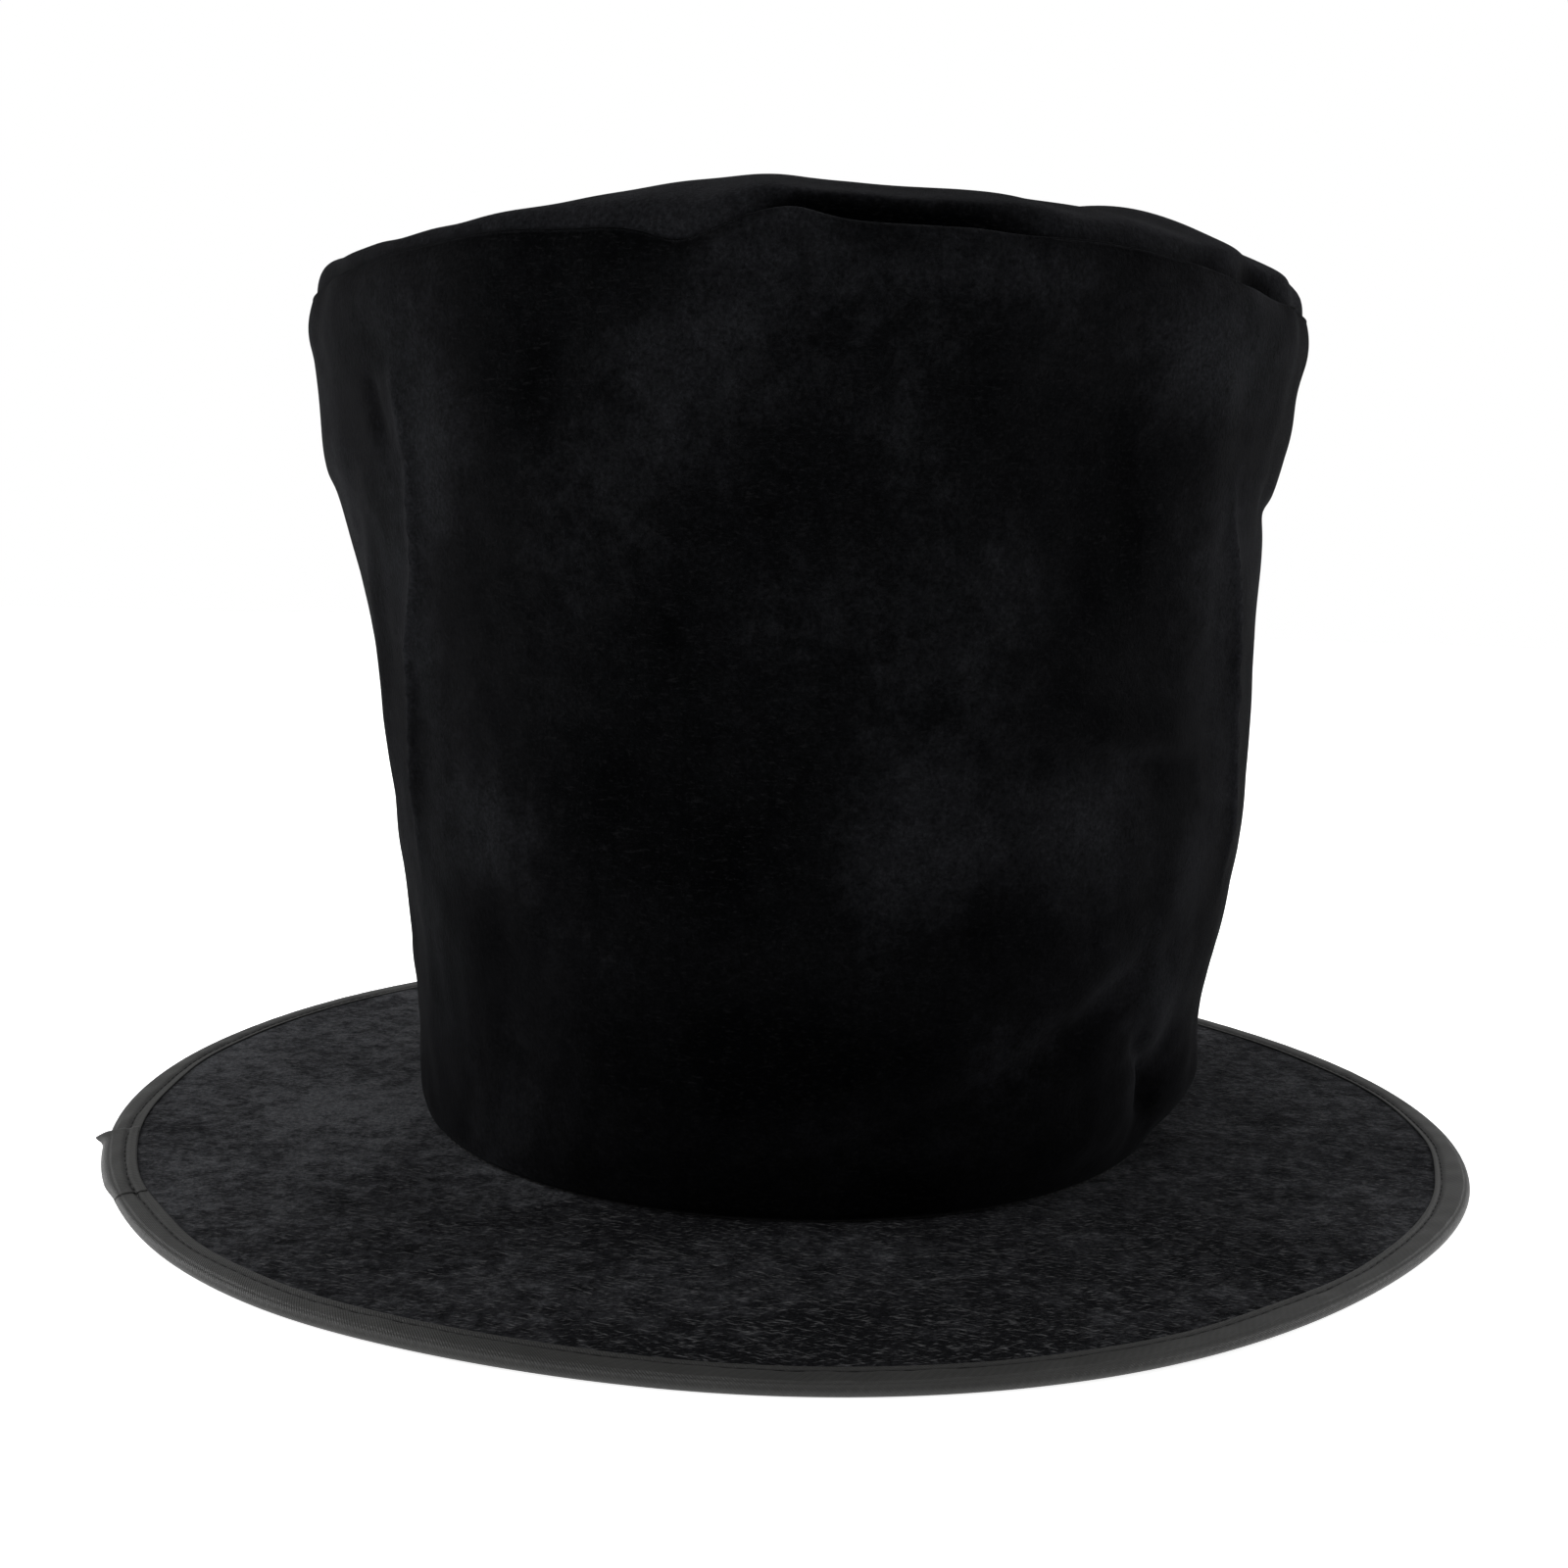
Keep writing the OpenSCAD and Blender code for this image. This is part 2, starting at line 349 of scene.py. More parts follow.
def closed_mesh(name, outer, inner, wrap, cloth, nap_and_shading=None):
    """A closed piece between two grids of points, indexed around and then along.

    cloth gives each point's place on the flat cloth, in metres, and the last argument how light each point is
    painted: the pile's own patches, with painted shade and highlights.
    """
    around, along = outer.shape[:2]
    count = around * along
    ids = np.arange(count).reshape(around, along)
    faces = []

    def bridge(a, b):
        faces.extend(zip(a[:-1], a[1:], b[1:], b[:-1]))

    nxt = np.roll(ids, -1, axis=0) if wrap else ids[1:]
    here = ids if wrap else ids[:-1]
    for flip, shift in ((False, 0), (True, count)):
        quad = [here[:, :-1], nxt[:, :-1], nxt[:, 1:], here[:, 1:]]
        quad = np.stack([q.ravel() + shift for q in quad], axis=1)
        faces.extend(map(tuple, quad[:, ::-1] if flip else quad))
    loop = np.append(ids[:, 0], ids[0, 0]) if wrap else ids[:, 0]
    bridge(loop[::-1], loop[::-1] + count)
    loop = np.append(ids[:, -1], ids[0, -1]) if wrap else ids[:, -1]
    bridge(loop, loop + count)
    if not wrap:
        bridge(ids[0], ids[0] + count)
        bridge(ids[-1][::-1], ids[-1][::-1] + count)
    points = np.concatenate([outer.reshape(-1, 3), inner.reshape(-1, 3)])
    mesh = bpy.data.meshes.new(name)
    mesh.from_pydata(points.tolist(), [], [tuple(int(i) for i in f) for f in faces])
    flat = np.concatenate([cloth.reshape(-1, 3)] * 2)
    mesh.attributes.new("cloth", "FLOAT_VECTOR", "POINT").data.foreach_set("vector", flat.ravel())
    light = np.zeros(count) if nap_and_shading is None else nap_and_shading.reshape(-1)
    mesh.attributes.new("nap_and_shading", "FLOAT", "POINT").data.foreach_set("value", np.concatenate([light] * 2))
    return finish_mesh(name, mesh)


def finish_mesh(name, mesh):
    """Joins the points that coincide, turns the faces outwards, and makes the piece ride on the hat."""
    bm = bmesh.new()
    bm.from_mesh(mesh)
    bmesh.ops.remove_doubles(bm, verts=bm.verts, dist=SAME_PLACE)
    bmesh.ops.dissolve_degenerate(bm, edges=bm.edges, dist=SAME_PLACE)
    bmesh.ops.recalc_face_normals(bm, faces=bm.faces)
    bm.to_mesh(mesh)
    bm.free()
    mesh.polygons.foreach_set("use_smooth", [True] * len(mesh.polygons))
    piece = bpy.data.objects.new(name, mesh)
    bpy.context.scene.collection.objects.link(piece)
    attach(piece, "root")
    return piece


def behind(grid, thickness, wrap):
    """The grid moved back along its own normals by a thickness, away from the side that it faces."""
    if wrap:
        step = np.roll(grid, -1, axis=0) - np.roll(grid, 1, axis=0)
    else:
        step = np.gradient(grid, axis=0)
    normal = np.cross(step, np.gradient(grid, axis=1))
    length = np.linalg.norm(normal, axis=-1, keepdims=True)
    return grid - normal / np.maximum(length, 1e-12) * thickness


def finish_piece(piece, node, material):
    """Hides the CAD node that the piece stands for, and gives the piece its material."""
    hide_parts(node)
    piece.data.materials.append(material)
    return piece


def tube_mesh(name, runs, radius, sides=8):
    """One mesh of threads or wires, thinner at their ends. Each run is the points that one goes through."""
    points, faces = [], []
    for run in runs:
        run = np.asarray(run, float)
        along = np.gradient(run, axis=0)
        along /= np.linalg.norm(along, axis=1)[:, None]
        helper = np.array([0, 0, 1.0]) if abs(along[0][2]) < 0.8 else np.array([1.0, 0, 0])
        first = np.cross(along, helper)
        first /= np.linalg.norm(first, axis=1)[:, None]
        second = np.cross(along, first)
        start = len(points)
        spin = np.arange(sides) * 2 * math.pi / sides
        for i, centre in enumerate(run):
            r = radius * (TAPER if i in (0, len(run) - 1) else 1)
            for a in spin:
                points.append(centre + r * (math.cos(a) * first[i] + math.sin(a) * second[i]))
        for i in range(len(run) - 1):
            for k in range(sides):
                a, b = start + i * sides + k, start + i * sides + (k + 1) % sides
                faces.append((a, b, b + sides, a + sides))
        last = start + (len(run) - 1) * sides
        faces.append(tuple(start + k for k in range(sides))[::-1])
        faces.append(tuple(last + k for k in range(sides)))
    mesh = bpy.data.meshes.new(name)
    mesh.from_pydata([tuple(p) for p in points], [], faces)
    return finish_mesh(name, mesh)


# -------------------------------- materials


class Nodes:
    """A material's nodes, with short ways to add and join them."""

    def __init__(self, name, roughness, **constants):
        self.material = bpy.data.materials.new(name)
        self.material.use_nodes = True
        self.tree = self.material.node_tree
        self.shader = self.tree.nodes["Principled BSDF"]
        self.shader.inputs["Roughness"].default_value = roughness
        for socket, value in constants.items():
            self.shader.inputs[socket.replace("_", " ")].default_value = value

    def add(self, kind, links=(), **values):
        node = self.tree.nodes.new(kind)
        for key, value in values.items():
            if hasattr(node, key):
                setattr(node, key, value)
            else:
                node.inputs[key.replace("_", " ")].default_value = value
        for socket, source in dict(links).items():
            self.tree.links.new(source, node.inputs[socket])
        return node

    def join(self, source, socket):
        self.tree.links.new(source, self.shader.inputs[socket])

    def place(self, attribute=None):
        """Where each point is on the object, or on the flat cloth."""
        if attribute:
            return self.add("ShaderNodeAttribute", attribute_name=attribute).outputs["Vector"]
        return self.add("ShaderNodeTexCoord").outputs["Object"]

    def noise(self, place, size, detail=3.0, rough=0.55):
        """Noise from 0 to 1 whose lumps are about the size given, in metres."""
        node = self.add("ShaderNodeTexNoise", {"Vector": place}, Scale=1 / size, Detail=detail)
        node.inputs["Roughness"].default_value = rough
        return node.outputs["Fac"]

    def bands(self, place, pitch, direction):
        """Threads lying side by side at a pitch, in metres."""
        node = self.add("ShaderNodeTexWave", {"Vector": place}, bands_direction=direction, Distortion=0.4)
        node.inputs["Scale"].default_value = math.pi / 10 / pitch
        return node.outputs["Fac"]

    def math(self, operation, a, b):
        node = self.add("ShaderNodeMath", operation=operation)
        for socket, value in zip(node.inputs, (a, b)):
            if isinstance(value, (int, float)):
                socket.default_value = value
            else:
                self.tree.links.new(value, socket)
        return node.outputs[0]

    def ramp(self, value, stops):
        """Colours for values from 0 to 1: (value, colour) pairs."""
        node = self.add("ShaderNodeValToRGB", {"Fac": value})
        band = node.color_ramp
        while len(band.elements) < len(stops):
            band.elements.new(0.5)
        for element, (where, colour) in zip(band.elements, stops):
            element.position = where
            element.color = (*colour, 1)
        return node.outputs["Color"]

    def mix(self, amount, a, b, blend="MIX"):
        node = self.add("ShaderNodeMix", data_type="RGBA", blend_type=blend)
        for socket, value in zip((node.inputs[0], node.inputs[6], node.inputs[7]), (amount, a, b)):
            if isinstance(value, (int, float)):
                socket.default_value = value
            elif isinstance(value, tuple):
                socket.default_value = (*value, 1)
            else:
                self.tree.links.new(value, socket)
        return node.outputs[2]

    def flecked(self, colour, place, fleck):
        """A colour with short, lighter fibres lying over it, one set each way."""
        for turn, size in ((16, 0.5 * MM), (-22, 0.65 * MM)):
            long_way = self.add("ShaderNodeMapping", {"Vector": place}, vector_type="TEXTURE",
                                Rotation=(0, 0, math.radians(turn)), Scale=(4.5, 1.0, 1.0)).outputs[0]
            strand = self.noise(long_way, size, 2, 0.6)
            sparse = self.ramp(strand, ((0.58, (0.0,) * 3), (0.8, (1.0,) * 3)))
            colour = self.mix(sparse, colour, fleck)
        return colour

    def bump(self, height, depth, strength=1.0, under=None):
        links = {"Height": height}
        if under is not None:
            links["Normal"] = under
        node = self.add("ShaderNodeBump", links, Distance=depth, Strength=strength)
        return node.outputs["Normal"]


def linear(*seen):
    """A colour as seen, from 0 to 1, as the light values that the shader takes."""
    return tuple((c / 12.92 if c <= 0.04045 else ((c + 0.055) / 1.055) ** 2.4) for c in seen)


def times(colour, amount):
    return tuple(amount * c for c in colour)


def velour(name, dark, mid, light, fleck, mottling, sheen):
    """Short pile: its colour follows the attribute that holds the pile's own patches together with painted
    shade and highlights, with broad patches where the nap lies one way or the other, mottling, and bright
    fibres.
    """
    n = Nodes(name, 0.95, Specular_IOR_Level=0.02, Sheen_Weight=sheen, Sheen_Roughness=0.3)
    n.shader.inputs["Sheen Tint"].default_value = (*linear(0.6, 0.61, 0.64), 1)
    place = n.place()
    # The attribute holds the pile's own patches together with painted shade and highlights.
    nap_and_shading = n.add("ShaderNodeAttribute", attribute_name="nap_and_shading").outputs["Fac"]
    broad, broad_share = n.noise(place, 26 * MM, 4), 0.25
    mottle = n.noise(place, 5 * MM, 6, 0.75)
    fibre = n.noise(place, 0.9 * MM, 4, 0.8)
    lie = n.math("ADD", n.math("MULTIPLY", nap_and_shading, 0.12), n.math("MULTIPLY", broad, broad_share))
    lie = n.math("ADD", lie, n.math("MULTIPLY", mottle, mottling))
    even = (broad_share + mottling) / 2
    base = n.ramp(lie, ((even - 0.14, dark), (even, mid), (even + 0.16, light)))
    tone = n.ramp(fibre, ((0.32, (0.35,) * 3), (0.52, (0.95,) * 3), (0.72, (1.9,) * 3)))
    n.join(n.flecked(n.mix(1.0, base, tone, "MULTIPLY"), place, fleck), "Base Color")
    pile = n.bump(mottle, 0.6 * MM, 0.5)
    n.join(n.bump(fibre, 0.4 * MM, 0.9, pile), "Normal")
    return n.material


def woven(name, colour, pitch, ribbed=False, slant=0.0, roughness=0.75, sheen=0.2, shine=0.25, relief=1.0):
    """Woven cloth with threads at a pitch, both ways, or mostly one way where it's ribbed."""
    n = Nodes(name, roughness, Specular_IOR_Level=shine, Sheen_Weight=sheen, Sheen_Roughness=0.4)
    flat = n.place("cloth")
    turned = n.add("ShaderNodeMapping", {"Vector": flat}, Rotation=(0, 0, math.radians(slant))).outputs[0]
    warp = n.bands(turned, pitch, "X")
    weft = n.bands(turned, pitch * (3 if ribbed else 1), "Y")
    weave = n.math("MULTIPLY", warp, n.math("ADD", n.math("MULTIPLY", weft, 0.5 if ribbed else 0.9), 0.4))
    slub = n.noise(flat, 14 * MM, 4)
    grain = n.noise(flat, 1.1 * MM, 3)
    lighter = tuple(min(1.0, c) for c in times(colour, 1.35))
    tone = n.ramp(n.math("ADD", n.math("MULTIPLY", slub, 0.6), n.math("MULTIPLY", grain, 0.4)),
                  ((0.3, times(colour, 0.72)), (0.5, colour), (0.72, lighter)))
    # Painted shade: the cloth is darkened where the attribute falls below zero, as in the tape's stitched
    # groove and on the brim's front.
    painted_shade = n.math("MULTIPLY", n.add("ShaderNodeAttribute", attribute_name="nap_and_shading").outputs["Fac"], -0.5)
    threads = n.mix(n.math("MULTIPLY", n.math("SUBTRACT", 1.0, weave), 0.45), tone, times(colour, 0.5))
    n.join(n.mix(painted_shade, threads, times(colour, 0.12)), "Base Color")
    n.join(n.bump(weave, 0.12 * MM * relief, 0.6, n.bump(slub, 0.3 * MM, 0.3)), "Normal")
    return n.material


def foam(name, colour):
    n = Nodes(name, 0.95, Specular_IOR_Level=0.15)
    cells = n.add("ShaderNodeTexVoronoi", {"Vector": n.place()}, Scale=1 / (0.8 * MM)).outputs["Distance"]
    n.join(n.ramp(cells, ((0.1, times(colour, 0.5)), (0.6, colour))), "Base Color")
    n.join(n.bump(cells, 0.3 * MM, 0.6), "Normal")
    return n.material


def pressed_board(name, colour):
    n = Nodes(name, 0.85, Specular_IOR_Level=0.2)
    fibre = n.noise(n.place(), 1.5 * MM, 6, 0.7)
    n.join(n.ramp(fibre, ((0.3, times(colour, 0.7)), (0.7, colour))), "Base Color")
    n.join(n.bump(fibre, 0.2 * MM, 0.5), "Normal")
    return n.material


def steel(name):
    n = Nodes(name, 0.35, Metallic=1.0)
    drawn = n.noise(n.place(), 0.7 * MM, 3)
    n.join(n.ramp(drawn, ((0.3, linear(0.55, 0.55, 0.56)), (0.7, linear(0.72, 0.72, 0.73)))), "Base Color")
    n.join(n.bump(drawn, 0.03 * MM, 0.4), "Normal")
    return n.material


def thread(name, colour):
    n = Nodes(name, 0.7, Specular_IOR_Level=0.2, Sheen_Weight=0.02)
    twist = n.noise(n.place(), 0.35 * MM, 2)
    n.join(n.ramp(twist, ((0.3, times(colour, 0.6)), (0.7, colour))), "Base Color")
    n.join(n.bump(twist, 0.08 * MM, 0.6), "Normal")
    return n.material


CROWN_VELOUR = velour("crown_velour", linear(0.003, 0.004, 0.006), linear(0.024, 0.025, 0.029),
                      linear(0.082, 0.084, 0.092), linear(0.058, 0.058, 0.062), mottling=0.34, sheen=0.055)
BRIM_VELOUR = velour("brim_velour", linear(0.04, 0.041, 0.047), linear(0.132, 0.134, 0.142),
                     linear(0.25, 0.253, 0.263), linear(0.31, 0.31, 0.315), mottling=0.8, sheen=0.05)
FOAM = foam("foam", linear(0.17, 0.17, 0.18))
LINING = woven("lining", linear(0.1, 0.1, 0.11), 0.45 * MM, roughness=0.6, shine=0.4)
BOARD = pressed_board("board", linear(0.2, 0.2, 0.2))
UNDER_COVER = woven("under_cover", linear(0.13, 0.13, 0.14), 0.6 * MM, slant=35)
BINDING = woven("binding", linear(0.17, 0.17, 0.166), 0.45 * MM, ribbed=True, slant=45, roughness=0.5,
                sheen=0.03, shine=0.28)
THREAD = thread("thread", linear(0.07, 0.07, 0.07))
STEEL = steel("wire")
SWEATBAND = woven("sweatband", linear(0.11, 0.11, 0.12), 0.9 * MM, ribbed=True, roughness=0.6, relief=1.6)
LABEL = woven("label", linear(0.85, 0.84, 0.81), 0.35 * MM, roughness=0.5, shine=0.4, relief=0.5)
LABEL_THREAD = thread("label_thread", linear(0.7, 0.69, 0.66))

# -------------------------------- the crown's side

# The panel starts a little off the brim, where its foot turns in by FOOT_IN over FOOT_H.
PANEL_FOOT = BRIM_TOP + 0.25 * MM
FOOT_IN = 1.3 * MM
FOOT_H = 1.8 * MM
# Its top edge turns over through an angle, and then goes down into the seam.
PANEL_TOP = SEAM_Z - 1.2 * MM
LIP_TURN = 165
SEAM_DEPTH = 3.0 * MM
# How much cloth the turned edge takes up.
EDGE_CLOTH = 6 * MM
# The layers behind end below the seam.
LAYER_TOP = SEAM_Z - 4 * MM
# The ends of the panel, and of the layers behind, all but meet at the back seam.
PANEL_END = 179.97
LAYER_END = 179.985


def panel_angles(end, steps):
    return np.linspace(-end, end, steps)[:, None]


def wall_heights(low, high, rows):
    """Heights from low to high, closer together near both ends."""
    t = np.linspace(0, 1, rows)[None, :]
    return low + (high - low) * (0.7 * t + 0.3 * smooth(t))


def pile_and_shading_lie(angle, height):
    """How light the pile is painted: in patches that are partly its own tone and partly painted shade and
    highlight, and with a painted highlight along the crests of the pressed folds.
    """
    # Painted highlight along the crests of the pressed folds.
    crest_highlight = sum(fold(angle, height, kind, 1.0, 1.1, path) for kind, _, _, path in FOLDS if kind == "pressed")
    return patches(angle, height, PILE_AND_SHADING_PATCHES) + 0.5 * crumple(angle, height, 30 * MM, 21) + 1.2 * crest_highlight


def on_panel(angle, height):
    """Where points of the wall are on the flat cloth."""
    return on_cloth(np.radians(angle) * (BASE_R + TOP_R) / 2, height)


def fan_cut(low_r, high_r, height):
    """The flat fan that a flared wall is cut from: the rectangle that it fits in, and its area."""
    slant = math.hypot(height, high_r - low_r)
    far = slant * high_r / (high_r - low_r)
    near = far - slant
    angle = 2 * math.pi * high_r / far
    size = (2 * far * math.sin(angle / 2), far - near * math.cos(angle / 2))
    return size, angle / 2 * (far * far - near * near)


def crown_side():
    """The velour panel: up the wall, over a soft lip at the tip seam, and down into the seam."""
    angle = panel_angles(PANEL_END, 620)
    heights = wall_heights(PANEL_FOOT, PANEL_TOP, 210)
    foot = FOOT_IN * np.clip(1 - (heights - PANEL_FOOT) / FOOT_H, 0, 1) ** 2
    out = round_points(angle, 1, 0)
    body = wall(angle, heights) - out * foot[..., None]
    up = np.array([0, 0, 1.0])
    size = lip_size(angle)[..., None]
    turn = np.radians(np.linspace(0, LIP_TURN, 12))[None, 1:, None]
    lip = body[:, -1:] - out * size * (1 - np.cos(turn)) + up * size * np.sin(turn)
    down = np.linspace(0, 1, 5)[None, 1:, None]
    inside = lip[:, -1:] - up * SEAM_DEPTH * down
    grid = np.concatenate([body, lip, inside], axis=1)
    inner = behind(grid, VELOUR_T, False)
    turned = np.linspace(0.3 * MM, EDGE_CLOTH, lip.shape[1] + inside.shape[1])[None, :]
    rows = np.concatenate([heights, PANEL_TOP + turned], axis=1)
    # The lip is painted lighter where the seam gapes, a painted highlight on its lit edge, and painted darker
    # elsewhere, as painted shade in the seam's crease.
    lip_highlight_and_crease_shade = smooth(gape(angle) / (2 * MM)) * 1.4 - 0.8
    near_lip = spread(np.minimum(rows - PANEL_TOP, 0), 2.5 * MM)
    lie = pile_and_shading_lie(angle, np.minimum(rows, SEAM_Z)) + lip_highlight_and_crease_shade * near_lip
    piece = closed_mesh("crown_side_velour_cloth", grid, inner, False, on_panel(angle, rows), lie)
    finish_piece(piece, "crown_side_velour", CROWN_VELOUR)
    cut, area = fan_cut(BASE_R, TOP_R, SEAM_Z - BRIM_TOP)
    return piece, cut, area


def crown_layer(name, node, material, inset, thickness, steps, rows):
    """A plain layer behind the velour panel, with the same folds."""
    angle = panel_angles(LAYER_END, steps)
    heights = wall_heights(BRIM_TOP + GAP, LAYER_TOP, rows)
    outer = wall(angle, heights, inset)
    inner = wall(angle, heights, inset + thickness)
    piece = closed_mesh(name, outer, inner, False, on_panel(angle, heights))
    return finish_piece(piece, node, material)


# -------------------------------- the crown's tip

# The gap between the tip and the panel's lip where the seam is shut, and how far the tip swells back over it.
TIP_GAP = 0.15 * MM
TIP_OVER = 0.8 * MM


def tip_grid(inset, steps, rings, dip):
    """The puffed tip: it rises out of the seam, swells over it, and is nearly flat in the middle.

    The inset sets a layer below the velour, and its skirt hangs down into the seam by the dip.
    """
    angle = all_round(steps)
    edge = wall(angle, np.full((1, 1), PANEL_TOP))
    edge_r = np.hypot(edge[..., 0] - lean(SEAM_Z), edge[..., 1])
    rise = edge[..., 2] - PANEL_TOP
    open_by = gape(angle)
    rim = edge_r - 2 * lip_size(angle) - TIP_GAP - open_by - inset
    t = np.linspace(0, 90, rings)[None, :]
    cos = np.clip(np.cos(np.radians(t)), 0, 1) ** (2 / TIP_SQUARE)
    sin = np.sin(np.radians(t)) ** (2 / TIP_SQUARE)
    # The tip swells back out over the seam, most where the seam gapes.
    swell = (0.85 * open_by + TIP_OVER) * spread(t - 15, 8)
    radius = rim * cos + swell
    x, y, height = np.moveaxis(round_points(angle, radius, (PUFF - inset + 0.25 * open_by) * sin), -1, 0)
    for at, distance, up, wide in TIP_SWELLS:
        middle = round_points(at, distance * MM, 0)
        height = height + up * MM * spread(np.hypot(x - middle[0], y - middle[1]), wide * MM) * sin
    # It's puckered near the seam, and rolls gently everywhere.
    pucker = crumple(angle, 0 * t, 13 * MM, 31) * spread(1 - radius / TOP_R, 0.16) * sin
    pucker = pucker * np.clip(radius / (30 * MM), 0, 1)
    roll = 0.55 * np.sin(x / (17 * MM) + 1.0) * np.sin(y / (21 * MM) + 0.4)
    roll = roll + 0.3 * np.sin((x + 1.7 * y) / (9 * MM))
    height = height + MM * (0.9 * pucker + roll * sin)
    base = PANEL_TOP + (rise + 0.5 * lip_size(angle)) * (1 - sin) ** 2
    body = np.stack([x + lean(SEAM_Z), y, base + height], axis=-1)
    down = np.linspace(1, 0, 4, endpoint=False)[None, :, None]
    skirt = body[:, :1, :] - np.array([0, 0, 1.0]) * dip * down
    return np.concatenate([skirt, body], axis=1)


def crown_tip(name, node, slot, material, inset, thickness, steps, rings, dip):
    """One layer of the tip: the velour itself, or one behind it."""
    grid = tip_grid(inset, steps, rings, dip)
    inner = behind(grid, thickness, True)
    middle = slice(-1, None)
    inner[:, middle] = inner[:, middle].mean(axis=0, keepdims=True)
    grid[:, middle] = grid[:, middle].mean(axis=0, keepdims=True)
    spot = np.hypot(grid[..., 0], grid[..., 1]) / TOP_R
    # The pile lies in broad, soft patches, and is painted lighter near the seam, a painted highlight on the
    # tip's rounded rim.
    lie = 0.7 * np.sin(grid[..., 0] * 43) * np.cos(grid[..., 1] * 37) + 0.5 + 0.6 * spot ** 8
    # Painted shade: the tip is painted dark inside the gaping seam.
    t = np.clip(np.arange(grid.shape[1]) - (grid.shape[1] - rings), 0, None) * 90 / (rings - 1)
    lie = lie - 3.0 * smooth(gape(all_round(steps)) / FULL_GAPE) * spread(t[None, :], 9)
    piece = closed_mesh(name, grid, inner, True, flat_cloth(grid), lie)
    return finish_piece(piece, node, material)


# -------------------------------- the brim

# How the soft brim lifts off the flat towards its edge: angle, rise, spread.
BRIM_LIFTS = ((52, 2.2, 26), (-140, 0.8, 24), (168, 0.7, 20), (-20, 0.5, 14))

# How far the hand-cut brim is from a true circle: angle, how far out, spread.
BRIM_CUTS = ((-40, 2.2, 21), (128, -4.8, 26), (42, -1.0, 18))


def flexed(points):
    """Points of the brim, as it's cut and as it lifts."""
    angle = np.degrees(np.arctan2(points[..., 0], -points[..., 1]))
    radius = np.hypot(points[..., 0], points[..., 1])
    rise = sum(up * spread(turn_from(angle, a), wide) for a, up, wide in BRIM_LIFTS)
    cut = sum(out * spread(turn_from(angle, a), wide) for a, out, wide in BRIM_CUTS)
    share = smooth((radius - BASE_R) / (BRIM_R - BASE_R))
    points = points.copy()
    points[..., :2] *= (1 + MM * cut * share / radius)[..., None]
    points[..., 2] += MM * rise * share
    return points


def ring_sheet(name, node, material, low, high, relief=0.0):
    """One flat layer of the brim, whose outer face has a slight relief that dies out under the tape."""
    angle = all_round(480)
    radius = np.linspace(BAND_R + GAP, LAYERS_R, 48)[None, :]
    uneven = relief * (crumple(angle, radius, 26 * MM, 41) + 0.5 * crumple(angle, radius, 9 * MM, 43))
    uneven = uneven * spread(np.maximum(radius - LAYERS_R + 12 * MM, 0), 6 * MM)
    top = round_points(angle, radius, high + np.maximum(uneven, -relief))
    bottom = round_points(angle, radius, low)
    # Painted shade darkens the brim in front, where the crown shades it, and painted light makes it a little
    # lighter at the left than at the right.
    crown_shade, to_right = spread(turn_from(angle, 0), 42), np.sin(np.radians(angle))
    lie = 0.35 * crumple(angle, radius, 40 * MM, 45) - 1.5 * crown_shade - 0.35 * to_right + 0.35
    piece = closed_mesh(name, flexed(top), flexed(bottom), True, flat_cloth(top), lie)
    return finish_piece(piece, node, material)


# How many rows of points cross the tape's top flap, go round the brim's edge, and come back underneath.
FLAP_ROWS, TURN_ROWS, UNDER_ROWS = 26, 17, 14
# The lap covers the flap and just over half of the turn round the edge.
LAP_ROWS = slice(1, FLAP_ROWS + 10)
# How far the tail's point is past the edge, in millimetres.
TAIL = 3.0


def ridge(angle):
    """How wide the tape's stitched inner edge is."""
    return MM * (1.5 + 1.2 * spread(turn_from(angle, -62), 32))


def tape_section(angle, lift=0.0):
    """The binding's outer face: from the top flap's inner edge, over the brim's edge, and back underneath."""
    wander = 0.55 * MM * crumple(angle, 0 * angle, 60 * MM, 51)
    wander = wander + 0.22 * MM * crumple(angle, 0 * angle, 18 * MM, 52)
    half = EDGE_T / 2
    edge_r = BRIM_R - half
    flap = BINDING_W - half + wander
    across = np.linspace(1, 0, FLAP_ROWS, endpoint=False)[None, :]
    top_r = edge_r - flap * across
    pucker = crumple(angle + 300 * across * flap, 0 * across, 4.5 * MM, 53)
    pucker = pucker + 0.7 * crumple(angle, 0 * across, 15 * MM, 55)
    # The flap is domed, puckered by its stitches, and drawn in along their groove.
    groove = spread(top_r - edge_r + flap - ridge(angle), 0.65 * MM)
    body = np.sin(math.pi * np.clip((across - 0.02) / 0.76, 0, 1)) ** 0.6
    relief = 0.18 + 0.22 * body + 0.10 * pucker * body - 0.4 * groove
    top_z = EDGE_T + MM * (relief - 0.12 * spread(1 - across, 0.04))
    turn = np.radians(np.linspace(90, -90, TURN_ROWS))[None, :]
    turn_r = edge_r + half * np.cos(turn) + 0.06 * MM * crumple(angle, 0 * turn, 22 * MM, 57) * np.cos(turn)
    turn_z = half + half * np.sin(turn)
    back = np.linspace(0, 1, UNDER_ROWS)[None, 1:]
    radius = np.concatenate([top_r, turn_r, edge_r - flap * back], axis=1)
    height = np.concatenate([top_z, turn_z + 0 * angle, 0 * back + 0 * angle], axis=1)
    return radius, height + lift


def brim_points(angle, radius, height):
    """Points that bend with the brim."""
    return flexed(round_points(angle, radius, height))


def tape_cloth(angle, grid):
    """Where points of the tape are on the flat strip: along it and across it."""
    step = np.linalg.norm(np.diff(grid, axis=1), axis=-1)
    across = np.concatenate([0 * angle, np.cumsum(step, axis=1)], axis=1)
    return on_cloth(np.radians(angle) * BRIM_R, across)


